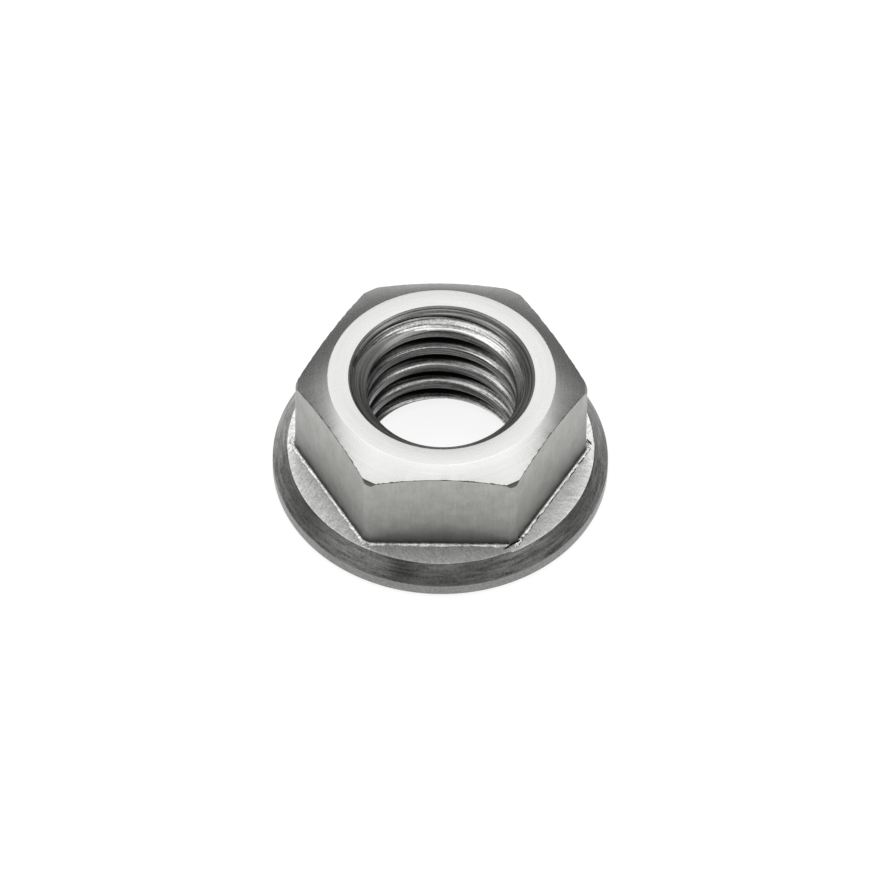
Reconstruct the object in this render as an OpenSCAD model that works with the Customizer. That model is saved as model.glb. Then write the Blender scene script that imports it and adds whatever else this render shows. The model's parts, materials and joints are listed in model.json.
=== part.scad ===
// Flange nut for an 8 mm metric thread, turned and milled from one piece of titanium bar.
// The bearing face lies on the XY plane, the bore's axis is Z, and two flats face -Y and +Y.

/* [Hexagon] */
// Wrench size, across the flats
across_flats = 12; // [11:0.1:13]
// How far the sharp corners are turned down, along the radius
corner_turn = 0.1; // [0.05:0.01:0.3]
// Radius that the cutter's nose leaves at the foot of each flat
foot_r = 0.12; // [0.05:0.01:0.2]

/* [Heights] */
// Height of the whole nut
nut_h = 6.5; // [5:0.1:10]
// Height of the milled seat round the hexagon's foot
seat_h = 1.5; // [1.2:0.1:2.5]
// Height of the flange's upright rim
rim_h = 0.65; // [0.3:0.05:1]

/* [Flange] */
// Diameter of the flange
flange_d = 15.75; // [15.4:0.05:20]
// Width of the turned slope between the rim and the seat, along the radius
slope_w = 0.7; // [0.3:0.05:0.8]
// Edge break between the rim and the bearing face
rim_break = 0.1; // [0.05:0.01:0.2]

/* [Top] */
// Outer diameter of the flat ring on top
top_d = 10.65; // [9.5:0.05:11.5]
// Angle of the top chamfer, from the ring's plane
top_angle = 25.5; // [15:0.5:35]
// Width of the steep edge break at the corners, along the radius
break_w = 0.12; // [0.05:0.01:0.2]
// Angle of that edge break, from the ring's plane
break_angle = 60; // [45:1:75]

/* [Bore] */
// Diameter over the thread's crests
bore_d = 7.05; // [6.65:0.05:7.2]
// Diameter of the countersink at the top
top_sink_d = 8.75; // [8:0.05:9.2]
// Diameter of the countersink at the bearing face
base_sink_d = 8.4; // [8:0.05:9.2]
// Included angle of both countersinks
sink_angle = 90; // [60:5:120]

/* [Hidden] */
$fn = 128;
FLATS = 6;
OVERCUT = 1;
apothem = across_flats / 2;
corner_r = apothem / cos(180 / FLATS) - corner_turn;
break_r = corner_r - break_w;
break_top_z = nut_h - (break_r - top_d / 2) * tan(top_angle);
break_foot_z = break_top_z - break_w * tan(break_angle);
seat_r = flange_d / 2 - slope_w;
bore_r = bore_d / 2;
sink_slope = tan(sink_angle / 2);

// Half section of the flange: bearing face, rim, slope and seat
module flange_section() {
    polygon([
        [0, 0],
        [flange_d / 2 - rim_break, 0],
        [flange_d / 2, rim_break],
        [flange_d / 2, rim_h],
        [seat_r, seat_h],
        [0, seat_h],
    ]);
}

// Half section of the turned blank that the hexagon is milled from
module hexagon_section() {
    polygon([
        [0, 0],
        [corner_r, 0],
        [corner_r, break_foot_z],
        [break_r, break_top_z],
        [top_d / 2, nut_h],
        [0, nut_h],
    ]);
}

// Half section of the bore with its two countersinks
module bore_section() {
    top_r = top_sink_d / 2 + OVERCUT * sink_slope;
    base_r = base_sink_d / 2 + OVERCUT * sink_slope;
    polygon([
        [0, -OVERCUT],
        [base_r, -OVERCUT],
        [bore_r, (base_sink_d / 2 - bore_r) / sink_slope],
        [bore_r, nut_h - (top_sink_d / 2 - bore_r) / sink_slope],
        [top_r, nut_h + OVERCUT],
        [0, nut_h + OVERCUT],
    ]);
}

// What the cutter takes off outside one flat, seen along that flat
module cutter_section() {
    reach = corner_r - apothem + OVERCUT;
    depth = nut_h - seat_h + OVERCUT;
    translate([foot_r, 0]) square([reach - foot_r, depth]);
    translate([0, foot_r]) square([reach, depth - foot_r]);
    translate([foot_r, foot_r]) circle(foot_r);
}

// One pass of the cutter, which leaves the flat that faces +X
module flat_cut() {
    run = 2 * (corner_r + OVERCUT);
    translate([apothem, run / 2, seat_h]) rotate([90, 0, 0]) linear_extrude(run) cutter_section();
}

module flange_nut() {
    color([0.66, 0.66, 0.64]) difference() {
        rotate_extrude() {
            flange_section();
            hexagon_section();
        }
        for (k = [0 : FLATS - 1]) rotate([0, 0, 30 + k * 360 / FLATS]) flat_cut();
        rotate_extrude() bore_section();
    }
}

flange_nut();
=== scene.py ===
"""Looks of the flange nut: its turned and milled body, the thread cut into it, the stage and the camera.

Lengths are in millimetres until a mesh or a place is made from them. Z is the bore's axis.
"""

import json
import math
from collections import Counter

import bmesh
import bpy
import numpy as np
from mathutils import Euler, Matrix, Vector


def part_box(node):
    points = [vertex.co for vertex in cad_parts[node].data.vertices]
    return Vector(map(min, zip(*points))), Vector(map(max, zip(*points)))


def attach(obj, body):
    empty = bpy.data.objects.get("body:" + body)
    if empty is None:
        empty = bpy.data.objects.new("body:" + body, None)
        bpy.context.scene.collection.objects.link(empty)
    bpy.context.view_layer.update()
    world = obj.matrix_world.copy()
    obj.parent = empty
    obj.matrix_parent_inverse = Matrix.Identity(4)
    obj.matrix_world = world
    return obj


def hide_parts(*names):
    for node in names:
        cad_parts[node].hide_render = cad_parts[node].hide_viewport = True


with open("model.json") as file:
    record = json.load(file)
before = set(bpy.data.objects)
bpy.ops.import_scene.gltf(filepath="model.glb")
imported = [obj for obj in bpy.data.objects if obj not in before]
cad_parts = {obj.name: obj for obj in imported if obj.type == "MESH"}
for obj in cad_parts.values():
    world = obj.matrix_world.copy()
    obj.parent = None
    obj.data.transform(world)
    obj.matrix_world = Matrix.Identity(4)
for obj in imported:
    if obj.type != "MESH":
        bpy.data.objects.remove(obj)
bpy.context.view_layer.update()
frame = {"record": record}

MM = 0.001
NODE = "flange_nut"
BODY = "root"

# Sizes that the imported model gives
_, NUT_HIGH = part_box(NODE)
NUT_HEIGHT = NUT_HIGH.z / MM
FLANGE_RADIUS = min(NUT_HIGH.x, NUT_HIGH.y) / MM
THREAD_MOUNT = next(mount for mount in frame["record"]["mounts"] if mount["name"] == "thread")
CREST_RADIUS = THREAD_MOUNT["dims"]["r_mm"]

# Hexagon
FLATS = 6
SECTOR = math.tau / FLATS
APOTHEM = 6.0
CORNER_TURN = 0.1
CORNER_RADIUS = APOTHEM / math.cos(SECTOR / 2) - CORNER_TURN
CORNER_BLEND = 0.05

# Flange
SEAT_HEIGHT = 1.5
RIM_HEIGHT = 0.65
RIM_BREAK = 0.1
SLOPE_WIDTH = 0.7
SEAT_RADIUS = FLANGE_RADIUS - SLOPE_WIDTH
SLOPE_RUN = SLOPE_WIDTH / (SEAT_HEIGHT - RIM_HEIGHT)

# Seat: how deep the cutter went at each flat, counted round from +X, and how strong its line at the foot is
PASS_DEPTHS = (0.03, 0.0, 0.03, 0.015, 0.0, 0.06)
LINE_SHARES = (1.0, 0.6, 0.6, 0.3, 0.5, 1.5)
SEAT_MARGIN = 0.04
PASS_EDGE = 0.02
SEAT_ROWS = 10
STRIP_ROWS = 5
STRIP_CLEAR = 0.112
FOOT_ROUND = (0.05, 0.2)
STRIP_WIDTH = 0.16
LEAST_STRIP = 0.85
STRIP_WAVER = 0.3
STRIP_RISE = 0.05
LEAST_RISE = 0.2
LINE_WIDTH = 0.055
LINE_DEPTH = 0.035
LEAST_LINE = 0.004
LINE_GUARD = 0.012

# Nicks at the corners' feet, each from one place in plan to another, with a half width and a depth
NICKS = (
    ((3.84, -5.60), (2.96, -6.30), 0.045, 0.14),
    ((6.84, 0.52), (7.12, 0.14), 0.05, 0.13),
    ((-6.93, 0.52), (-7.12, 0.02), 0.025, 0.05),
)
NICK_TAPER = 0.15
NICK_CLEAR = 0.25

# Top
TOP_RADIUS = 5.325
TOP_SLOPE = math.tan(math.radians(25.5))
BREAK_WIDTH = 0.12
LEAST_BREAK = 0.01
BREAK_WAVER = 0.045
LEAST_WAVER = 0.3
BREAK_SLOPE = math.tan(math.radians(60))

# Bore
TOP_SINK_RADIUS = 4.375
BASE_SINK_RADIUS = 4.2
PILOT_CLEAR = 0.3
PILOT_RADIUS = CREST_RADIUS - PILOT_CLEAR

# Thread, whose groove passes the angle below at the height below
PITCH = 1.25
MAJOR_RADIUS = 4.14
ROOT_FLAT = 0.12
FLANK_ANGLE = math.radians(30)
GROOVE_HEIGHT = 6.04
GROOVE_ANGLE = math.radians(90)
THREAD_EDGE = 0.03
TAP_OVERRUN = 0.8
TAP_COLUMNS = 320
TAP_ROWS = 24
TAP_CROWDING = 0.6

# Lip that the tap rolled up, in the spiral where its first groove runs out through the countersink
LIP_RISE = 0.03
LIP_REACH = 0.1
# Width and darkness of a line of painted shade under the lip
LIP_SHADE_WIDTH = 0.04
LIP_SHADE_DARKNESS = 0.25
FLANK_RUN = math.tan(FLANK_ANGLE)
LIP_SPREAD = 1 + FLANK_RUN
LIP_FOOT = GROOVE_HEIGHT + ROOT_FLAT / 2 + MAJOR_RADIUS * FLANK_RUN - (NUT_HEIGHT - TOP_SINK_RADIUS)
LIP_RADIUS = LIP_FOOT / LIP_SPREAD
LIP_FALL = PITCH / math.tau / LIP_SPREAD
LIP_END = GROOVE_ANGLE - (LIP_RADIUS - CREST_RADIUS) / LIP_FALL

# Painted shade down a thread's flank, each as stops of (way from crest to root, factor on the colour)
OPEN_TURN_SHADE = ((0.0, 0.27), (0.03, 0.27), (0.07, 0.9), (0.6, 0.88), (1.0, 0.42))
HEAVY_PAINTED_SHADE = ((0.0, 0.25), (0.03, 0.25), (0.05, 1.0), (0.12, 0.7), (0.25, 0.1), (1.0, 0.07))
SLIGHT_PAINTED_SHADE = ((0.0, 0.25), (0.03, 0.25), (0.05, 1.0), (0.25, 0.85), (0.55, 0.3), (1.0, 0.2))

# Painted shade in the thread: angles along the groove where it is full and gone, and the shade under each
# turn
DEEP_SHADE_FULL = LIP_END - 1.2
DEEP_SHADE_GONE = LIP_END + 0.3
UNDERSIDE_SHADE = 0.65
UNDERSIDE_EDGE = 0.06
UNDERSIDE_START = 0.03
UNDERSIDE_END = 0.1

# Painted shade up a flat, as stops of (way from the seat to the top, factor on the colour)
FOOT_PAINTED_SHADE = ((0.0, 0.22), (0.04, 0.31), (0.09, 0.45), (0.2, 0.62), (0.45, 0.81), (0.9, 1.0))

# Dark patches on the slope, each with a place, how far it reaches and how dark it is: a stain and painted
# shade
STAIN_AND_SHADE_PATCHES = (
    (Vector((-1.7, -7.2, 1.2)), 0.9, 0.55),
    # Painted shade: darkens the slope on the side towards +X
    (Vector((7.4, 1.0, 1.1)), 4.5, 0.7),
)
PATCH_CORE = 0.2

# Marks and tones that the finishes share
BROAD_FINENESS = 0.3
FLAT_OFFSET = 7.3
MIDDLE_TONE = 0.5
QUARTER_TURN = 0.25

# Fineness of the body's mesh
COLUMNS = 720
CORNER_CROWDING = 0.7
EDGE = 0.035
CRISP_EDGE = 0.014
EDGE_STEPS = 3
ROUND_LIMIT = 0.45
WELD = 0.001
FOOT_STEPS = 6
SMOOTH_ANGLE = math.radians(32)

# Seeds of what is uneven round the nut
WIDTH_SEED = 1
RISE_SEED = 2
BREAK_SEED = 3
LINE_SEED = 4

# Floor
FLOOR_SIZE = 6000.0
FLOOR_DROP = 0.01
FLOOR_ALBEDO = 0.22
FLOOR_GLOW = 0.85

# Light
SOFTBOX_HEIGHT = 550.0
SOFTBOX_WIDTH = 980.0
SOFTBOX_FRONT = -225.0
SOFTBOX_BACK = 650.0
SOFTBOX_RADIANCE = 1.77
LAMP_STEP = 1.0
OVERHEAD_SIZE = (480.0, 250.0)
OVERHEAD_BACK = 135.0
OVERHEAD_RADIANCE = 0.45
FORWARD_SIZE = (220.0, 130.0)
FORWARD_BACK = -111.0
FORWARD_RADIANCE = 0.3
CARD_DISTANCE = 700.0
CARD_SIZE = (560.0, 300.0)
CARD_TURN = math.radians(55)
CARD_ELEVATION = math.radians(27)
CARD_RADIANCE = 0.55
FRONT_CARD_SIZE = (420.0, 200.0)
FRONT_CARD_ELEVATION = math.radians(42)
FRONT_CARD_RADIANCE = 0.72
WORLD_GREY = 0.17

# Camera, from the photograph
PHOTO_FRAME = 41.28
CAMERA_DISTANCE = 1000.0
CAMERA_AIM = Vector((-0.03, 0.0, 1.885))
CAMERA_AZIMUTH = math.radians(-90.44)
CAMERA_ELEVATION = math.radians(50.43)
CAMERA_ROLL = math.radians(0.95)
SENSOR = 36.0
CLIP_NEAR = 100.0
CLIP_FAR = 10000.0


# Node helpers
def node(tree, kind, inputs=None, **settings):
    """A new node with its settings, and with its inputs set or linked."""
    made = tree.nodes.new(kind)
    for name, value in settings.items():
        setattr(made, name, value)
    for name, value in (inputs or {}).items():
        if isinstance(value, bpy.types.NodeSocket):
            tree.links.new(value, made.inputs[name])
        else:
            made.inputs[name].default_value = value
    return made


def calc(tree, operation, *values):
    """The result of one Math node."""
    return node(tree, "ShaderNodeMath", dict(enumerate(values)), operation=operation).outputs[0]


def between(tree, value, low, high, to_low, to_high):
    """A value taken from one range to another and held inside it."""
    return node(tree, "ShaderNodeMapRange", {
        "Value": value,
        "From Min": low,
        "From Max": high,
        "To Min": to_low,
        "To Max": to_high,
    }).outputs[0]


def new_group(name, kind, inputs, outputs):
    """A node tree with the sockets given as (name, type, value), its group input and its group output."""
    tree = bpy.data.node_groups.new(name, kind)
    for socket_name, socket_type, value in inputs:
        socket = tree.interface.new_socket(socket_name, in_out="INPUT", socket_type=socket_type)
        if value is not None:
            socket.default_value = value
    for socket_name, socket_type in outputs:
        tree.interface.new_socket(socket_name, in_out="OUTPUT", socket_type=socket_type)
    given = tree.nodes.new("NodeGroupInput").outputs
    result = tree.nodes.new("NodeGroupOutput").inputs
    return tree, given, result


def object_axes(tree):
    """The three object coordinates, the vector across the axis, and its length."""
    place = node(tree, "ShaderNodeTexCoord").outputs["Object"]
    axes = node(tree, "ShaderNodeSeparateXYZ", {0: place}).outputs
    across = node(tree, "ShaderNodeCombineXYZ", {"X": axes["X"], "Y": axes["Y"]}).outputs[0]
    reach = node(tree, "ShaderNodeVectorMath", {0: across}, operation="LENGTH").outputs["Value"]
    return place, axes, across, reach


# Marks that the finishes share
def noise(tree, vector, extra=0.0, scale=1.0):
    """The value of a four-way noise with three finer layers."""
    return node(tree, "ShaderNodeTexNoise", {
        "Vector": vector,
        "W": extra,
        "Scale": scale,
        "Detail": 3.0,
        "Roughness": 0.6,
    }, noise_dimensions="4D").outputs[0]


def turning_marks():
    """Group: fine rings left by a turning tool, broader streaks that run with them, and an even grain.

    With a lead, which is a height per turn, the rings become a right-hand helix that starts and ends in
    front.
    """
    tree, given, result = new_group(
        "turning_marks",
        "ShaderNodeTree",
        [
            ("Lines per mm", "NodeSocketFloat", 14.0),
            ("Breaks", "NodeSocketFloat", 3.0),
            ("Lead", "NodeSocketFloat", 0.0),
            ("Grain per mm", "NodeSocketFloat", 9.0),
        ],
        [("Fine", "NodeSocketFloat"), ("Broad", "NodeSocketFloat"), ("Grain", "NodeSocketFloat")],
    )
    place, axes, across, reach = object_axes(tree)
    heading = node(tree, "ShaderNodeVectorMath", {0: across}, operation="NORMALIZE").outputs["Vector"]
    headings = node(tree, "ShaderNodeSeparateXYZ", {0: heading}).outputs
    turned = calc(tree, "DIVIDE", calc(tree, "ARCTAN2", headings["X"], headings["Y"]), math.tau)
    level = calc(tree, "ADD", axes["Z"], calc(tree, "MULTIPLY", turned, given["Lead"]))
    for output, fineness in (("Fine", 1.0), ("Broad", BROAD_FINENESS)):
        lines = calc(tree, "MULTIPLY", given["Lines per mm"], fineness / MM)
        breaks = calc(tree, "MULTIPLY", given["Breaks"], math.sqrt(fineness))
        vector = node(tree, "ShaderNodeCombineXYZ", {
            "X": calc(tree, "MULTIPLY", reach, lines),
            "Y": calc(tree, "MULTIPLY", level, lines),
            "Z": calc(tree, "MULTIPLY", headings["X"], breaks),
        }).outputs[0]
        tree.links.new(noise(tree, vector, calc(tree, "MULTIPLY", headings["Y"], breaks)), result[output])
    grain = noise(tree, place, scale=calc(tree, "DIVIDE", given["Grain per mm"], MM))
    tree.links.new(grain, result["Grain"])
    return tree


def milling_marks():
    """Group: marks that a milling cutter leaves along the nearest flat, a mottle and an even grain."""
    tree, given, result = new_group(
        "milling_marks",
        "ShaderNodeTree",
        [
            ("Marks per mm", "NodeSocketFloat", 9.0),
            ("Stretch", "NodeSocketFloat", 8.0),
            ("Turn", "NodeSocketFloat", 0.0),
            ("Mottle per mm", "NodeSocketFloat", 2.0),
            ("Grain per mm", "NodeSocketFloat", 9.0),
        ],
        [("Fine", "NodeSocketFloat"), ("Broad", "NodeSocketFloat"), ("Grain", "NodeSocketFloat")],
    )
    place, axes, _, _ = object_axes(tree)
    angle = calc(tree, "ARCTAN2", axes["Y"], axes["X"])
    number = calc(tree, "FLOOR", calc(tree, "DIVIDE", angle, SECTOR))
    middle = calc(tree, "MULTIPLY", calc(tree, "ADD", number, 0.5), SECTOR)
    turned = node(tree, "ShaderNodeVectorRotate", {
        "Vector": place,
        "Axis": (0.0, 0.0, 1.0),
        "Angle": calc(tree, "SUBTRACT", given["Turn"], middle),
    }, rotation_type="AXIS_ANGLE").outputs[0]
    own = node(tree, "ShaderNodeSeparateXYZ", {0: turned}).outputs
    fine = calc(tree, "DIVIDE", given["Marks per mm"], MM)
    coarse = calc(tree, "DIVIDE", fine, given["Stretch"])
    vector = node(tree, "ShaderNodeCombineXYZ", {
        "X": calc(tree, "MULTIPLY", own["X"], coarse),
        "Y": calc(tree, "MULTIPLY", own["Y"], fine),
        "Z": calc(tree, "MULTIPLY", own["Z"], coarse),
    }).outputs[0]
    tree.links.new(noise(tree, vector, calc(tree, "MULTIPLY", number, FLAT_OFFSET)), result["Fine"])
    for output, count in (("Broad", "Mottle per mm"), ("Grain", "Grain per mm")):
        tree.links.new(noise(tree, place, scale=calc(tree, "DIVIDE", given[count], MM)), result[output])
    return tree


TURNING = turning_marks()
MILLING = milling_marks()


# Finishes
def titanium(value, warmth):
    """The metal's grey, as a colour that is slightly warm."""
    return (value, value, value * (1 - warmth), 1.0)


def mixed(tree, factor, first, second, blend="MIX"):
    """Two colours, blended by a factor."""
    return node(tree, "ShaderNodeMix", {
        "Factor": factor,
        6: first,
        7: second,
    }, data_type="RGBA", blend_type=blend).outputs[2]


def multiplied(tree, colour, factor):
    """A colour times another one or a value."""
    return mixed(tree, 1.0, colour, factor, "MULTIPLY")


def metal(
    name, marks, values, shares, tones, roughness, depth,
    spread=0.12, warmth=0.02, bareness=1.0, stretch=0.0, shade=None, relief=None,
):
    """A bare metal finish whose colour, roughness and bump follow one group of marks.

    Shares are those of the fine marks, the broad ones and the grain, and their sum is the tone. Tones and
    roughness are the values at its lowest and highest, which lie a spread either side of its middle, and
    depth is that of the marks. Bareness is less than 1 where a dull skin covers the metal. Stretch is how
    far the gloss is drawn out across the turning rings. Shade and relief make a factor on the colour and a
    height of their own.
    """
    material = bpy.data.materials.new(name)
    material.use_nodes = True
    tree = material.node_tree
    shader = tree.nodes["Principled BSDF"]
    shader.inputs["Metallic"].default_value = bareness
    group = node(tree, "ShaderNodeGroup", node_tree=marks)
    for socket, value in values.items():
        group.inputs[socket].default_value = value
    parts = [calc(tree, "MULTIPLY", group.outputs[number], share) for number, share in enumerate(shares)]
    tone = calc(tree, "ADD", calc(tree, "ADD", parts[0], parts[1]), parts[2])
    low = MIDDLE_TONE - spread
    high = MIDDLE_TONE + spread
    lightness = between(tree, tone, low, high, 0.0, 1.0)
    colour = mixed(tree, lightness, titanium(tones[0], warmth), titanium(tones[1], warmth))
    if shade:
        colour = multiplied(tree, colour, shade(tree))
    height = calc(tree, "MULTIPLY", tone, depth * MM)
    if relief:
        height = calc(tree, "ADD", height, relief(tree))
    bump = node(tree, "ShaderNodeBump", {"Height": height, "Strength": 1.0, "Distance": 1.0})
    tree.links.new(colour, shader.inputs["Base Color"])
    tree.links.new(between(tree, tone, low, high, *roughness), shader.inputs["Roughness"])
    tree.links.new(bump.outputs["Normal"], shader.inputs["Normal"])
    if stretch:
        tangent = node(tree, "ShaderNodeTangent", direction_type="RADIAL", axis="Z")
        tree.links.new(tangent.outputs[0], shader.inputs["Tangent"])
        shader.inputs["Anisotropic"].default_value = stretch
        shader.inputs["Anisotropic Rotation"].default_value = QUARTER_TURN
    return material


def grey_ramp(tree, factor, stops):
    """A grey that follows a factor through (position, value) stops."""
    ramp = node(tree, "ShaderNodeValToRGB", {"Fac": factor})
    while len(ramp.color_ramp.elements) < len(stops):
        ramp.color_ramp.elements.new(1.0)
    for element, (position, value) in zip(ramp.color_ramp.elements, stops):
        element.position = position
        element.color = (value, value, value, 1.0)
    return ramp.outputs["Color"]


def unrolled_angle(tree, axes):
    """The angle round the axis, counted up from where the lip ends."""
    angle = calc(tree, "ARCTAN2", axes["Y"], axes["X"])
    return calc(tree, "WRAP", angle, LIP_END + math.tau, LIP_END)


def thread_painted_shade(tree):
    """Painted shade: dark crests of the drilled bore, light first flanks, and darker further down and
    below.

    The painted shade is lightest on the side towards +X.
    """
    _, axes, _, reach = object_axes(tree)
    share = between(tree, reach, CREST_RADIUS * MM, MAJOR_RADIUS * MM, 0.0, 1.0)
    open_shade = grey_ramp(tree, share, OPEN_TURN_SHADE)
    heavy_shade = grey_ramp(tree, share, HEAVY_PAINTED_SHADE)
    slight_shade = grey_ramp(tree, share, SLIGHT_PAINTED_SHADE)
    deep_shade = mixed(tree, between(tree, axes["X"], 0.0, CREST_RADIUS * MM, 0.0, 1.0), heavy_shade, slight_shade)
    unrolled = unrolled_angle(tree, axes)
    lead = calc(tree, "MULTIPLY", calc(tree, "SUBTRACT", unrolled, GROOVE_ANGLE), PITCH * MM / math.tau)
    off_groove = calc(tree, "SUBTRACT", axes["Z"], calc(tree, "ADD", lead, GROOVE_HEIGHT * MM))
    pitches = calc(tree, "DIVIDE", off_groove, PITCH * MM)
    turns = calc(tree, "ROUND", pitches)
    travel = calc(tree, "ADD", unrolled, calc(tree, "MULTIPLY", turns, math.tau))
    colour = mixed(tree, between(tree, travel, DEEP_SHADE_FULL, DEEP_SHADE_GONE, 1.0, 0.0), open_shade, deep_shade)
    above_groove = between(tree, calc(tree, "SUBTRACT", pitches, turns), 0.0, UNDERSIDE_EDGE, 0.0, 1.0)
    in_groove = between(tree, share, UNDERSIDE_START, UNDERSIDE_END, 0.0, UNDERSIDE_SHADE)
    underside_factor = calc(tree, "SUBTRACT", 1.0, calc(tree, "MULTIPLY", above_groove, in_groove))
    return multiplied(tree, colour, underside_factor)


def past_lip(tree):
    """How far out each place on the countersink is from the lip's spiral."""
    _, axes, _, reach = object_axes(tree)
    turned = calc(tree, "SUBTRACT", unrolled_angle(tree, axes), GROOVE_ANGLE)
    spiral = calc(tree, "ADD", calc(tree, "MULTIPLY", turned, LIP_FALL * MM), LIP_RADIUS * MM)
    return calc(tree, "SUBTRACT", reach, spiral)


def lip_relief(tree):
    """Height of the lip on the countersink."""
    nearness = between(tree, past_lip(tree), 0.0, LIP_REACH * MM, 1.0, 0.0)
    return calc(tree, "MULTIPLY", calc(tree, "MULTIPLY", nearness, nearness), LIP_RISE * MM)


def lip_painted_shade(tree):
    """Painted shade: a dark line under the lip."""
    off_line = calc(tree, "ABSOLUTE", calc(tree, "SUBTRACT", past_lip(tree), LIP_SHADE_WIDTH / 2 * MM))
    return between(tree, off_line, LIP_SHADE_WIDTH / 2 * MM, LIP_SHADE_WIDTH * MM, LIP_SHADE_DARKNESS, 1.0)


def foot_painted_shade(tree):
    """Painted shade: the flats are darker towards the seat, and most of all just above it."""
    _, axes, _, _ = object_axes(tree)
    share = between(tree, axes["Z"], SEAT_HEIGHT * MM, NUT_HEIGHT * MM, 0.0, 1.0)
    return grey_ramp(tree, share, FOOT_PAINTED_SHADE)


def stain_and_painted_shade(tree):
    """A stain and a patch of painted shade, each deepest at its own place."""
    place, _, _, _ = object_axes(tree)
    factor = 1.0
    for centre, patch_reach, darkest in STAIN_AND_SHADE_PATCHES:
        distance = node(tree, "ShaderNodeVectorMath", {0: place, 1: centre * MM}, operation="DISTANCE")
        away = distance.outputs["Value"]
        fade = between(tree, away, PATCH_CORE * patch_reach * MM, patch_reach * MM, darkest, 1.0)
        factor = calc(tree, "MULTIPLY", factor, fade)
    return factor


def top_metal():
    return metal(
        "turned_top", TURNING, {"Lines per mm": 12.0, "Breaks": 1.5, "Grain per mm": 6.0},
        shares=(0.5, 0.3, 0.2), tones=(0.447, 0.472), roughness=(0.29, 0.25), depth=0.0002, stretch=0.4,
    )


def edge_metal():
    return metal(
        "turned_edges", TURNING, {"Lines per mm": 6.0, "Breaks": 6.0, "Grain per mm": 9.0},
        shares=(0.3, 0.3, 0.4), tones=(0.10, 0.30), roughness=(0.34, 0.28), depth=0.002,
    )


def slope_metal():
    return metal(
        "turned_slope", TURNING, {"Lines per mm": 8.0, "Breaks": 7.0, "Grain per mm": 10.0},
        # Painted shade: the tones are set darker than the bare metal's, to dim the bright floor the slope
        # reflects
        shares=(0.45, 0.25, 0.3), tones=(0.08, 0.39), roughness=(0.38, 0.28), depth=0.003, stretch=0.3,
        shade=stain_and_painted_shade,
    )


def rim_metal():
    return metal(
        "turned_rim", TURNING, {"Lines per mm": 10.0, "Breaks": 9.0, "Grain per mm": 8.0},
        # Painted shade: the tones are set darker than the bare metal's, to dim the bright floor the rim
        # reflects
        shares=(0.15, 0.15, 0.7), tones=(0.20, 0.30), roughness=(0.36, 0.30), depth=0.002, stretch=0.3,
    )


def sink_metal():
    return metal(
        "turned_countersink", TURNING, {"Lines per mm": 10.0, "Breaks": 0.6, "Grain per mm": 9.0},
        shares=(0.8, 0.1, 0.1), tones=(0.10, 0.60), roughness=(0.40, 0.30), depth=0.004, spread=0.09,
        stretch=0.6, shade=lip_painted_shade, relief=lip_relief,
    )


def flat_metal():
    return metal(
        "milled_flats", MILLING,
        {"Marks per mm": 9.0, "Stretch": 10.0, "Mottle per mm": 1.5, "Grain per mm": 9.0},
        # Painted shade: the tones are set darker than the bare metal's, to dim the bright floor the flats
        # reflect
        shares=(0.25, 0.45, 0.3), tones=(0.335, 0.435), roughness=(0.39, 0.34), depth=0.0012, warmth=0.04,
        shade=foot_painted_shade,
    )


def seat_metal():
    return metal(
        "milled_seat", MILLING, {
            "Marks per mm": 9.0,
            "Stretch": 5.0,
            "Turn": math.radians(-30),
            "Mottle per mm": 2.0,
            "Grain per mm": 11.0,
        },
        # Painted light: the tones are set lighter than the bare metal's, to brighten the flats and light
        # the seat reflects
        shares=(0.4, 0.05, 0.55), tones=(0.50, 0.87), roughness=(0.50, 0.40), depth=0.003, bareness=0.75,
    )


def strip_metal():
    return metal(
        "burred_strip", MILLING,
        {"Marks per mm": 9.0, "Stretch": 2.0, "Mottle per mm": 3.0, "Grain per mm": 11.0},
        # Painted light: the tones are set lighter than the bare metal's, to brighten what the strip
        # reflects
        shares=(0.4, 0.05, 0.55), tones=(0.40, 0.84), roughness=(0.48, 0.36), depth=0.003,
    )


def thread_metal():
    return metal(
        "cut_thread", TURNING,
        {"Lines per mm": 12.0, "Breaks": 1.0, "Lead": PITCH * MM, "Grain per mm": 9.0},
        shares=(0.65, 0.15, 0.2), tones=(0.11, 0.67), roughness=(0.30, 0.22), depth=0.003, spread=0.07,
        shade=thread_painted_shade,
    )


# Body
def column_angles():
    """Angles of the mesh's columns, crowded towards the hexagon's corners."""
    even = np.arange(COLUMNS) * math.tau / COLUMNS
    return even - CORNER_CROWDING / FLATS * np.sin(FLATS * even)


def smooth_least(first, second, reach):
    """The lesser of two lengths, blended where they are within reach of each other."""
    nearness = np.maximum(reach - np.abs(first - second), 0.0) / reach
    return np.minimum(first, second) - nearness**2 * reach / 4


def ragged(seed):
    """An uneven value between 0 and 1 for each column, which runs on round the nut."""
    values = np.random.default_rng(seed).random(COLUMNS)
    smooth = (2 * values + np.roll(values, 1) + np.roll(values, -1)) / 4

    # The middle half of the range is widened to the whole
    return np.clip((smooth - 0.25) * 2, 0.0, 1.0)


def flat_numbers(angles):
    """The number of the flat that each column is on, counted round from +X."""
    return np.floor(angles / SECTOR).astype(int) % FLATS


def seat_levels(angles, from_middle):
    """Heights of each column's own seat and of its outer end, and the radius where the next pass cut in."""
    depths = np.array(PASS_DEPTHS)
    number = flat_numbers(angles)
    beside = (number + np.where(from_middle > 0, 1, -1)) % FLATS
    own = SEAT_HEIGHT - depths[number]
    step = np.maximum(depths[beside] - depths[number], 0.0)
    cut_in = APOTHEM / np.cos(SECTOR - np.abs(from_middle))
    limit = SEAT_RADIUS - SEAT_MARGIN
    share = np.clip((limit - cut_in) / SEAT_MARGIN, 0.0, 1.0)
    pass_edge = np.where(step > 0, np.minimum(cut_in, limit), limit)
    return own, own - step * share, pass_edge


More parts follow.
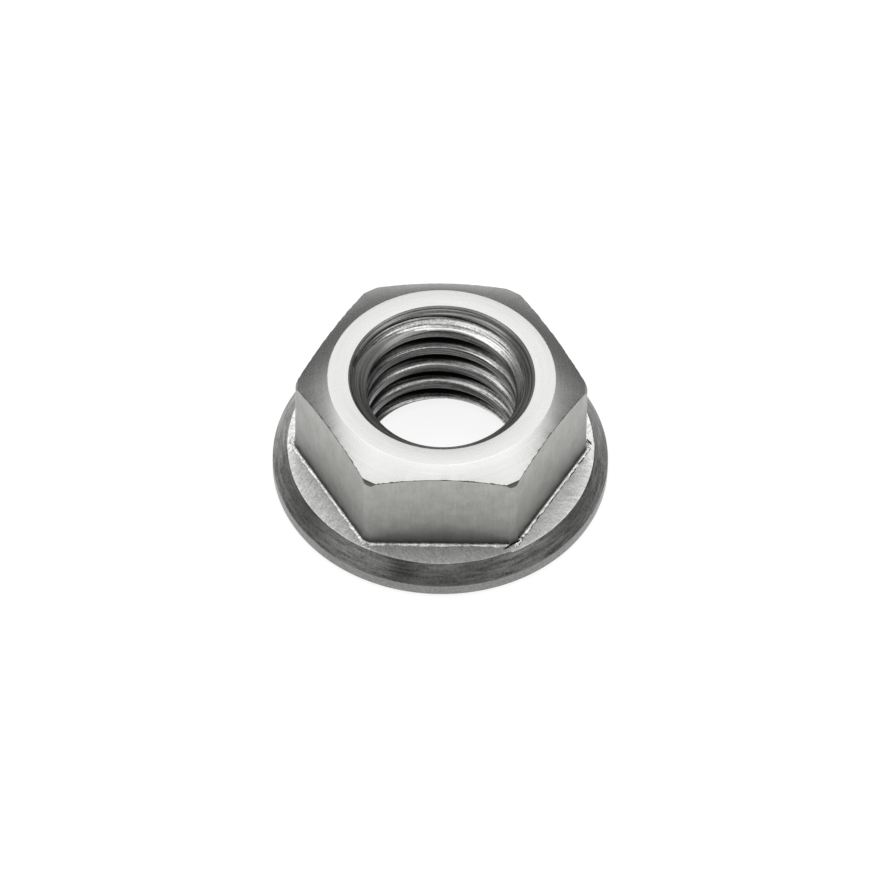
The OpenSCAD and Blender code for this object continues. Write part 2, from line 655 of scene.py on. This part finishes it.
def section_corners(angles):
    """Corners of the half section at each angle, from the bore's foot round the outside to the bore's head.

    Each is a radius, a height, the length by which its edge is rounded, or one for each side, the steps of
    that round and the finish of the face that follows it.
    """
    from_middle = angles % SECTOR - SECTOR / 2
    along_flat = 1 / np.cos(from_middle)
    wall = smooth_least(APOTHEM * along_flat, np.full(COLUMNS, CORNER_RADIUS), CORNER_BLEND)
    own, outer, pass_edge = seat_levels(angles, from_middle)
    strip = STRIP_WIDTH * (LEAST_STRIP + STRIP_WAVER * ragged(WIDTH_SEED))
    line = np.minimum((APOTHEM + strip) * along_flat, pass_edge - PASS_EDGE - LINE_WIDTH)
    line_share = ragged(LINE_SEED) * np.array(LINE_SHARES)[flat_numbers(angles)]
    line_width = LEAST_LINE + LINE_WIDTH * line_share
    rise = STRIP_RISE * (LEAST_RISE + (1 - LEAST_RISE) * ragged(RISE_SEED))
    strip_foot = own + rise * np.clip((line - wall) / STRIP_WIDTH, 0.0, 1.0)
    strip_start = line - line_width
    strip_run = np.maximum(strip_start - wall - STRIP_CLEAR, LEAST_LINE)
    strip_fall = (strip_foot - own) / (strip_start - wall)
    strip_shares = np.linspace(0.0, 1.0, STRIP_ROWS)
    seat_start = line + LINE_GUARD
    seat_end = np.maximum(pass_edge - PASS_EDGE, seat_start)
    seat_shares = np.linspace(1.0, 0.0, SEAT_ROWS)
    waver = BREAK_WAVER * (LEAST_WAVER + (1 - LEAST_WAVER) * np.abs(np.cos(angles)))
    edge_break = LEAST_BREAK + waver * ragged(BREAK_SEED) ** 2
    break_radius = np.minimum(wall - edge_break, CORNER_RADIUS - BREAK_WIDTH)
    break_height = NUT_HEIGHT - (break_radius - TOP_RADIUS) * TOP_SLOPE
    wall_height = break_height - (wall - break_radius) * BREAK_SLOPE
    return [
        (PILOT_RADIUS, BASE_SINK_RADIUS - PILOT_RADIUS, 0.0, 0, "sink"),
        (BASE_SINK_RADIUS, 0.0, EDGE, EDGE_STEPS, "top"),
        (FLANGE_RADIUS - RIM_BREAK, 0.0, EDGE, EDGE_STEPS, "rim"),
        (FLANGE_RADIUS, RIM_BREAK, EDGE, EDGE_STEPS, "rim"),
        (FLANGE_RADIUS, RIM_HEIGHT, EDGE, EDGE_STEPS, "slope"),
        (SEAT_RADIUS + (SEAT_HEIGHT - outer) * SLOPE_RUN, outer, CRISP_EDGE, EDGE_STEPS, "seat"),
        (pass_edge, outer, 0.0, 0, "seat"),
        *((seat_start + share * (seat_end - seat_start), own, 0.0, 0, "seat") for share in seat_shares),
        (line, own, 0.0, 0, "edge"),
        (line - line_width / 2, own - LINE_DEPTH * line_share, 0.0, 0, "edge"),
        *(
            (strip_start - share * strip_run, own + share * strip_run * strip_fall, 0.0, 0, "strip")
            for share in strip_shares
        ),
        (wall, strip_foot, FOOT_ROUND, FOOT_STEPS, "flats"),
        (wall, wall_height, CRISP_EDGE, EDGE_STEPS, "edge"),
        (break_radius, break_height, CRISP_EDGE, EDGE_STEPS, "top"),
        (TOP_RADIUS, NUT_HEIGHT, EDGE, EDGE_STEPS, "top"),
        (TOP_SINK_RADIUS, NUT_HEIGHT, CRISP_EDGE, EDGE_STEPS, "sink"),
        (PILOT_RADIUS, NUT_HEIGHT - (TOP_SINK_RADIUS - PILOT_RADIUS), 0.0, 0, "sink"),
    ]


def rounded_rows(corners):
    """Rows of points round the section with its corners rounded, and the finish of the face after each."""
    points = [np.stack(np.broadcast_arrays(r, z, np.empty(COLUMNS))[:2], axis=-1) for r, z, *_ in corners]
    rows = []
    finishes = []
    for index, (_, _, reach, steps, finish) in enumerate(corners):
        corner = points[index]
        if not steps:
            rows.append(corner)
            finishes.append(finish)
            continue
        ends = []
        neighbours = (points[index - 1], points[(index + 1) % len(points)])
        for other, side_reach in zip(neighbours, np.broadcast_to(reach, 2)):
            away = other - corner
            length = np.linalg.norm(away, axis=-1, keepdims=True)
            ends.append(corner + away / length * np.minimum(side_reach, ROUND_LIMIT * length))
        near = corners[index - 1][4]
        for share in np.linspace(0.0, 1.0, steps + 1):
            rows.append((1 - share) ** 2 * ends[0] + 2 * share * (1 - share) * corner + share**2 * ends[1])
            finishes.append(near if share < 0.5 else finish)
    return np.stack(rows), finishes


def nut_blank(finish_materials):
    """The body before the thread is cut: a closed ring of quads with its finishes."""
    angles = column_angles()
    rows, finishes = rounded_rows(section_corners(angles))
    radius, height = rows[..., 0], rows[..., 1]
    places = np.stack([radius * np.cos(angles), radius * np.sin(angles), height], axis=-1)
    row_count = len(rows)
    row = np.arange(row_count)[:, None]
    column = np.arange(COLUMNS)[None, :]
    next_row = (row + 1) % row_count
    next_column = (column + 1) % COLUMNS
    quads = np.stack([
        row * COLUMNS + column,
        row * COLUMNS + next_column,
        next_row * COLUMNS + next_column,
        next_row * COLUMNS + column,
    ], axis=-1)
    mesh = bpy.data.meshes.new("nut_blank")
    mesh.from_pydata((places * MM).reshape(-1, 3).tolist(), [], quads.reshape(-1, 4).tolist())
    for material in finish_materials.values():
        mesh.materials.append(material)
    numbers = {finish: number for number, finish in enumerate(finish_materials)}
    finish_numbers = np.repeat([[numbers[finish]] for finish in finishes], COLUMNS, axis=1)
    mesh.polygons.foreach_set("material_index", finish_numbers.ravel())
    mesh.polygons.foreach_set("use_smooth", np.ones(len(mesh.polygons), bool))
    mesh.update()
    blank = bpy.data.objects.new("nut_blank", mesh)
    bpy.context.scene.collection.objects.link(blank)
    return blank


def nick_blades(finish_materials):
    """The blades that cut the nicks, each drawn in to both ends and to its foot."""
    shape = bmesh.new()
    for start, end, half_width, depth in NICKS:
        run = Vector(end) - Vector(start)
        across = run.orthogonal().normalized() * half_width
        plan = [Vector(start), Vector(end)]
        feet = [Vector(start) + run * share for share in (NICK_TAPER, 1 - NICK_TAPER)]
        for foot in feet:
            plan += [foot + across, foot - across]
        places = [(*point, SEAT_HEIGHT + level) for point in plan for level in (0.0, NICK_CLEAR)]
        places += [(*foot, SEAT_HEIGHT - depth) for foot in feet]
        bmesh.ops.convex_hull(shape, input=[shape.verts.new(Vector(place) * MM) for place in places])
    bmesh.ops.recalc_face_normals(shape, faces=shape.faces)
    for face in shape.faces:
        face.material_index = list(finish_materials).index("edge")
    mesh = bpy.data.meshes.new("nick_blades")
    shape.to_mesh(mesh)
    shape.free()
    for material in finish_materials.values():
        mesh.materials.append(material)
    blades = bpy.data.objects.new("nick_blades", mesh)
    bpy.context.scene.collection.objects.link(blades)
    return blades


# Thread
def thread_tap():
    """Geometry Nodes tree that cuts a thread into a body: a tap as one grid wound round the axis."""
    number = "NodeSocketFloat"
    tree, given, result = new_group(
        "thread_tap",
        "GeometryNodeTree",
        [
            ("Body", "NodeSocketGeometry", None),
            ("Pitch", number, 1.0),
            ("Major Radius", number, 1.0),
            ("Crest Radius", number, 1.0),
            ("Root Flat", number, 0.0),
            ("Flank Angle", number, 0.5),
            ("Edge", number, 0.0),
            ("Start", number, 0.0),
            ("Low End", number, 0.0),
            ("High End", number, 1.0),
            ("Turns", "NodeSocketInt", 8),
            ("Columns", "NodeSocketInt", 32),
            ("Rows per Turn", "NodeSocketInt", 8),
            ("Crowding", number, 0.0),
            ("Finish", "NodeSocketMaterial", None),
        ],
        [("Body", "NodeSocketGeometry")],
    )

    # A flat grid, whose columns are turned round the axis and whose rows climb it
    rows = calc(tree, "MULTIPLY", given["Turns"], given["Rows per Turn"])
    grid = node(tree, "GeometryNodeMeshGrid", {
        "Size X": 1.0,
        "Size Y": 1.0,
        "Vertices X": calc(tree, "ADD", given["Columns"], 1.0),
        "Vertices Y": calc(tree, "ADD", rows, 1.0),
    })
    position = node(tree, "GeometryNodeInputPosition").outputs[0]
    place = node(tree, "ShaderNodeSeparateXYZ", {0: position}).outputs
    turn = calc(tree, "ADD", place["X"], 0.5)
    climb = calc(tree, "MULTIPLY", calc(tree, "ADD", place["Y"], 0.5), given["Turns"])

    # The rows crowd at the root and at both edges of the crest, which part a turn in three
    third = math.tau * 3
    swing = calc(tree, "SINE", calc(tree, "MULTIPLY", climb, third))
    pull = calc(tree, "MULTIPLY", calc(tree, "DIVIDE", given["Crowding"], third), swing)
    along = calc(tree, "MULTIPLY", calc(tree, "SUBTRACT", climb, pull), given["Pitch"])
    lead = calc(tree, "MULTIPLY", turn, given["Pitch"])
    height = calc(tree, "ADD", calc(tree, "ADD", along, lead), given["Start"])

    # The tap's radius: root, flank and crest
    off_groove = calc(tree, "PINGPONG", along, calc(tree, "MULTIPLY", given["Pitch"], 0.5))
    past_root = calc(tree, "SUBTRACT", calc(tree, "MULTIPLY", given["Root Flat"], 0.5), off_groove)
    rise = calc(tree, "DIVIDE", past_root, calc(tree, "TANGENT", given["Flank Angle"]))
    flank = calc(tree, "ADD", rise, given["Major Radius"])
    rooted = calc(tree, "SMOOTH_MIN", flank, given["Major Radius"], given["Edge"])
    crested = calc(tree, "SMOOTH_MAX", rooted, given["Crest Radius"], given["Edge"])

    # Both ends are drawn in to the axis, which closes the tap
    above = calc(tree, "GREATER_THAN", height, given["Low End"])
    below = calc(tree, "LESS_THAN", height, given["High End"])
    radius = calc(tree, "MULTIPLY", crested, calc(tree, "MULTIPLY", above, below))
    angle = calc(tree, "MULTIPLY", turn, math.tau)
    wound = node(tree, "ShaderNodeCombineXYZ", {
        "X": calc(tree, "MULTIPLY", radius, calc(tree, "COSINE", angle)),
        "Y": calc(tree, "MULTIPLY", radius, calc(tree, "SINE", angle)),
        "Z": calc(tree, "MINIMUM", calc(tree, "MAXIMUM", height, given["Low End"]), given["High End"]),
    }).outputs[0]
    shape = node(tree, "GeometryNodeSetPosition", {
        "Geometry": grid.outputs["Mesh"],
        "Position": wound,
    }).outputs[0]
    shape = node(tree, "GeometryNodeMergeByDistance", {"Geometry": shape, "Distance": WELD * MM}).outputs[0]
    shape = node(tree, "GeometryNodeSetShadeSmooth", {"Geometry": shape}).outputs[0]
    shape = node(tree, "GeometryNodeStoreNamedAttribute", {
        "Geometry": shape,
        "Name": "thread",
        "Value": True,
    }, data_type="BOOLEAN", domain="FACE").outputs[0]
    shape = node(tree, "GeometryNodeMeshBoolean", {
        "Mesh 1": given["Body"],
        "Mesh 2": shape,
    }, operation="DIFFERENCE", solver="MANIFOLD").outputs["Mesh"]
    shape = node(tree, "GeometryNodeRealizeInstances", {"Geometry": shape}).outputs[0]
    cut = node(tree, "GeometryNodeInputNamedAttribute", {"Name": "thread"}, data_type="BOOLEAN").outputs[0]
    shape = node(tree, "GeometryNodeSetMaterial", {
        "Geometry": shape,
        "Selection": cut,
        "Material": given["Finish"],
    }).outputs[0]
    tree.links.new(shape, result["Body"])
    return tree


def set_inputs(modifier, values):
    """Gives a Geometry Nodes modifier its named inputs."""
    for item in modifier.node_group.interface.items_tree:
        if item.in_out == "INPUT" and item.name in values:
            modifier[item.identifier] = values[item.name]


def evaluated_mesh(piece, name):
    """The piece's mesh with its modifiers, as a plain mesh, and the piece without them."""
    graph = bpy.context.evaluated_depsgraph_get()
    mesh = bpy.data.meshes.new_from_object(piece.evaluated_get(graph))
    mesh.name = name
    piece.modifiers.clear()
    piece.data = mesh
    return mesh


def weld(mesh):
    """Merges the points that a cut left nearly together, and drops the fins between them."""
    shape = bmesh.new()
    shape.from_mesh(mesh)
    bmesh.ops.remove_doubles(shape, verts=shape.verts, dist=WELD * MM)
    bmesh.ops.dissolve_degenerate(shape, dist=WELD * MM, edges=shape.edges)

    # Away from the cuts every point of the grid has four edges
    beside_cuts = [face for face in shape.faces if any(len(vert.link_edges) != 4 for vert in face.verts)]
    bmesh.ops.triangulate(shape, faces=beside_cuts)
    corners = Counter(frozenset(face.verts) for face in shape.faces)
    fins = [
        face for face in shape.faces
        if corners[frozenset(face.verts)] > 1 or all(len(edge.link_faces) != 2 for edge in face.edges)
    ]
    bmesh.ops.delete(shape, geom=fins, context="FACES")
    shape.to_mesh(mesh)
    shape.free()


def threaded_nut(finish_materials, thread_finish):
    """The body with its nicks and its thread cut, its sharp edges marked and its normals weighted."""
    piece = nut_blank(finish_materials)
    piece.name = "threaded_nut"
    blades = nick_blades(finish_materials)
    nicks = piece.modifiers.new("nicks", "BOOLEAN")
    nicks.object = blades
    nicks.operation = "DIFFERENCE"
    nicks.solver = "MANIFOLD"
    low_end = -TAP_OVERRUN
    high_end = NUT_HEIGHT + TAP_OVERRUN
    groove_at_start = GROOVE_HEIGHT - GROOVE_ANGLE / math.tau * PITCH
    turns_below = math.ceil((groove_at_start - low_end) / PITCH) + 1
    start = groove_at_start - turns_below * PITCH
    tap = piece.modifiers.new("thread", "NODES")
    tap.node_group = thread_tap()
    set_inputs(tap, {
        "Pitch": PITCH * MM,
        "Major Radius": MAJOR_RADIUS * MM,
        "Crest Radius": CREST_RADIUS * MM,
        "Root Flat": ROOT_FLAT * MM,
        "Flank Angle": FLANK_ANGLE,
        "Edge": THREAD_EDGE * MM,
        "Start": start * MM,
        "Low End": low_end * MM,
        "High End": high_end * MM,
        "Turns": math.ceil((high_end - start) / PITCH),
        "Columns": TAP_COLUMNS,
        "Rows per Turn": TAP_ROWS,
        "Crowding": TAP_CROWDING,
        "Finish": thread_finish,
    })
    mesh = evaluated_mesh(piece, "threaded_nut")
    bpy.data.objects.remove(blades)
    weld(mesh)
    mesh.set_sharp_from_angle(angle=SMOOTH_ANGLE)
    weighting = piece.modifiers.new("weighting", "WEIGHTED_NORMAL")
    weighting.keep_sharp = True
    evaluated_mesh(piece, "threaded_nut")
    return piece


# Stage
def floor_material():
    """A pale matt floor that the camera and the metal see brighter, and that is clear from below."""
    material = bpy.data.materials.new("pale_floor")
    material.use_nodes = True
    tree = material.node_tree
    tree.nodes.clear()
    matt = node(tree, "ShaderNodeBsdfDiffuse", {"Color": (FLOOR_ALBEDO, FLOOR_ALBEDO, FLOOR_ALBEDO, 1.0)})
    path = node(tree, "ShaderNodeLightPath").outputs
    mirrored = calc(tree, "ADD", path["Is Glossy Ray"], path["Is Transmission Ray"])
    seen = calc(tree, "ADD", path["Is Camera Ray"], mirrored)
    glow = node(tree, "ShaderNodeEmission", {
        "Color": (1.0, 1.0, 1.0, 1.0),
        "Strength": calc(tree, "MULTIPLY", seen, FLOOR_GLOW),
    })
    lit = node(tree, "ShaderNodeAddShader", {0: matt.outputs[0], 1: glow.outputs[0]})
    clear = node(tree, "ShaderNodeBsdfTransparent")
    side = node(tree, "ShaderNodeNewGeometry").outputs["Backfacing"]
    sided = node(tree, "ShaderNodeMixShader", {0: side, 1: lit.outputs[0], 2: clear.outputs[0]})
    node(tree, "ShaderNodeOutputMaterial", {"Surface": sided.outputs[0]})
    return material


def floor():
    half = FLOOR_SIZE / 2
    corners = [(-half, -half), (half, -half), (half, half), (-half, half)]
    mesh = bpy.data.meshes.new("floor")
    mesh.from_pydata([Vector((x, y, -FLOOR_DROP)) * MM for x, y in corners], [], [(0, 1, 2, 3)])
    mesh.materials.append(floor_material())
    made = bpy.data.objects.new("floor", mesh)
    bpy.context.scene.collection.objects.link(made)


def lamp(name, size, radiance, place):
    """A soft rectangular light that faces down from its place and looks evenly bright at its radiance."""
    light = bpy.data.lights.new(name, "AREA")
    light.shape = "RECTANGLE"
    light.size = size[0] * MM
    light.size_y = size[1] * MM
    light.energy = radiance * math.pi * light.size * light.size_y
    made = bpy.data.objects.new(name, light)
    made.location = place * MM
    made.visible_camera = False
    bpy.context.scene.collection.objects.link(made)
    return made


def card(name, size, radiance, turn, elevation):
    """A lamp in front of the nut that faces it, turned from straight ahead and raised."""
    level = CARD_DISTANCE * math.cos(elevation)
    place = Vector((level * math.sin(turn), -level * math.cos(turn), CARD_DISTANCE * math.sin(elevation)))
    made = lamp(name, size, radiance, place)
    made.rotation_euler = place.to_track_quat("Z", "Y").to_euler()


def studio_light():
    """A large softbox overhead, brightest above the nut, weak cards in front, and grey air."""
    middle = (SOFTBOX_FRONT + SOFTBOX_BACK) / 2
    size = (SOFTBOX_WIDTH, SOFTBOX_BACK - SOFTBOX_FRONT)
    lamp("softbox", size, SOFTBOX_RADIANCE, Vector((0.0, middle, SOFTBOX_HEIGHT)))
    overhead = Vector((0.0, OVERHEAD_BACK, SOFTBOX_HEIGHT - LAMP_STEP))
    forward = Vector((0.0, FORWARD_BACK, SOFTBOX_HEIGHT - 2 * LAMP_STEP))
    lamp("overhead", OVERHEAD_SIZE, OVERHEAD_RADIANCE, overhead)
    lamp("forward", FORWARD_SIZE, FORWARD_RADIANCE, forward)
    card("left_card", CARD_SIZE, CARD_RADIANCE, -CARD_TURN, CARD_ELEVATION)
    card("right_card", CARD_SIZE, CARD_RADIANCE, CARD_TURN, CARD_ELEVATION)
    card("front_card", FRONT_CARD_SIZE, FRONT_CARD_RADIANCE, 0.0, FRONT_CARD_ELEVATION)
    world = bpy.data.worlds.new("studio")
    world.use_nodes = True
    background = world.node_tree.nodes["Background"]
    background.inputs["Color"].default_value = (WORLD_GREY, WORLD_GREY, WORLD_GREY, 1.0)
    bpy.context.scene.world = world


def camera():
    """The photograph's view: a long lens that looks down on the nut."""
    data = bpy.data.cameras.new("camera")
    data.sensor_width = SENSOR
    data.lens = SENSOR * CAMERA_DISTANCE / PHOTO_FRAME
    data.clip_start = CLIP_NEAR * MM
    data.clip_end = CLIP_FAR * MM
    eye = bpy.data.objects.new("camera", data)
    level = math.cos(CAMERA_ELEVATION)
    back = Vector((
        math.cos(CAMERA_AZIMUTH) * level,
        math.sin(CAMERA_AZIMUTH) * level,
        math.sin(CAMERA_ELEVATION),
    ))
    eye.location = (CAMERA_AIM + back * CAMERA_DISTANCE) * MM
    aim = (-back).to_track_quat("-Z", "Y").to_matrix()
    eye.rotation_euler = (aim @ Euler((0.0, 0.0, CAMERA_ROLL)).to_matrix()).to_euler()
    bpy.context.scene.collection.objects.link(eye)
    bpy.context.scene.camera = eye


# The stage, and then the nut
camera()
floor()
studio_light()
bpy.context.scene.view_settings.view_transform = "Standard"

FINISHES = {
    "top": top_metal(),
    "edge": edge_metal(),
    "sink": sink_metal(),
    "slope": slope_metal(),
    "rim": rim_metal(),
    "seat": seat_metal(),
    "strip": strip_metal(),
    "flats": flat_metal(),
}
nut = threaded_nut(FINISHES, thread_metal())
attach(nut, BODY)
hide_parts(NODE)
